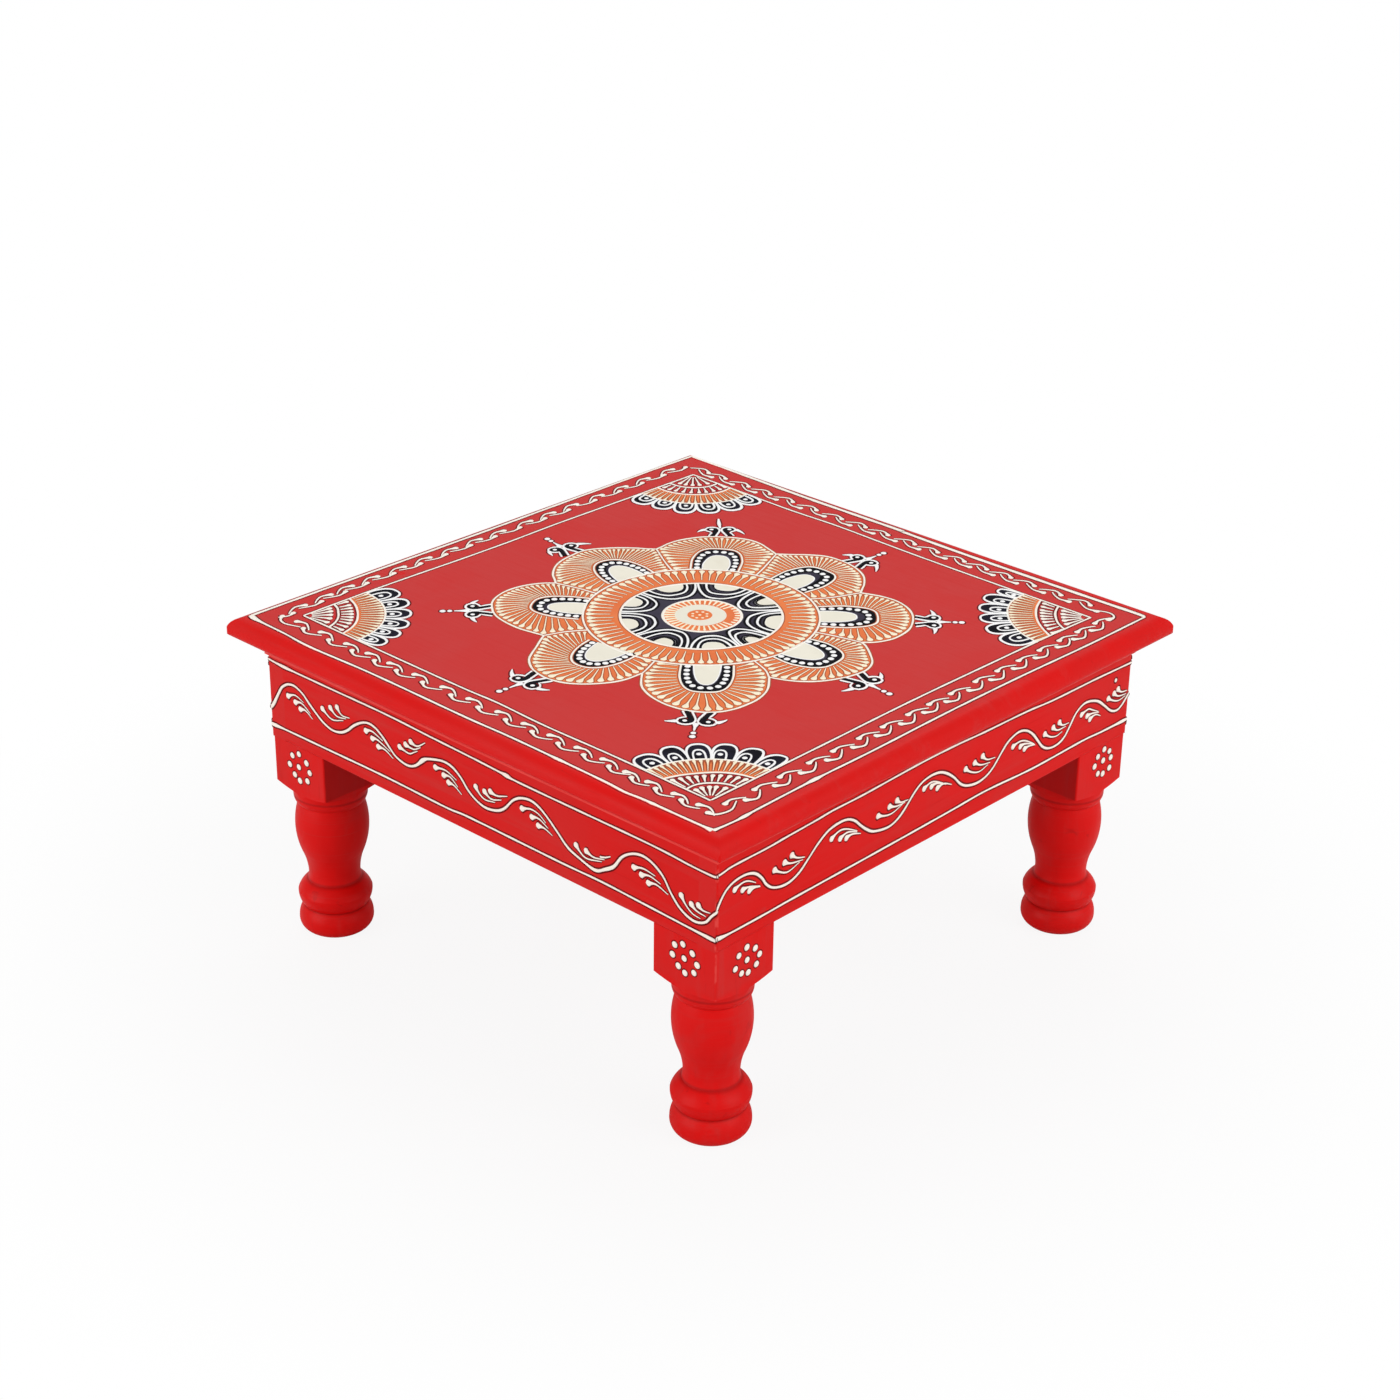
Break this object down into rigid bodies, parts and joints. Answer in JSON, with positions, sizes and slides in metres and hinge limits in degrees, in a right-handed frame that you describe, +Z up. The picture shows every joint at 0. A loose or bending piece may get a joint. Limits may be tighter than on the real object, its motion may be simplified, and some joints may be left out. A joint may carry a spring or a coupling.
{
  "type": "bajot low table",
  "caption": "Square low table with a moulded top board, plain apron frame and turned legs, painted red with raised cone-work flowers and vines.",
  "frame": {"origin": "on the floor at the centre of the footprint", "axes": "+Z up through the middle of the top; -Y is the front, whose apron sits between the ends of the left and right aprons"},
  "size_m": [0.3048, 0.3048, 0.159],
  "materials": {
    "painted_wood": "red enamel over wood, satin, with raised white cone-work",
    "filler": "wood filler under the red enamel",
    "nail_steel": "bright drawn wire"
  },
  "bodies": {
    "root": {"top_board": "painted_wood", "apron_left": "painted_wood", "apron_right": "painted_wood", "apron_front": "painted_wood", "apron_back": "painted_wood", "leg_front_left": "painted_wood", "leg_front_right": "painted_wood", "leg_back_right": "painted_wood", "leg_back_left": "painted_wood", "apron_nails": "nail_steel", "apron_nail_plugs": "filler", "top_nails": "nail_steel", "top_nail_plugs": "filler"}
  },
  "joints": []
}
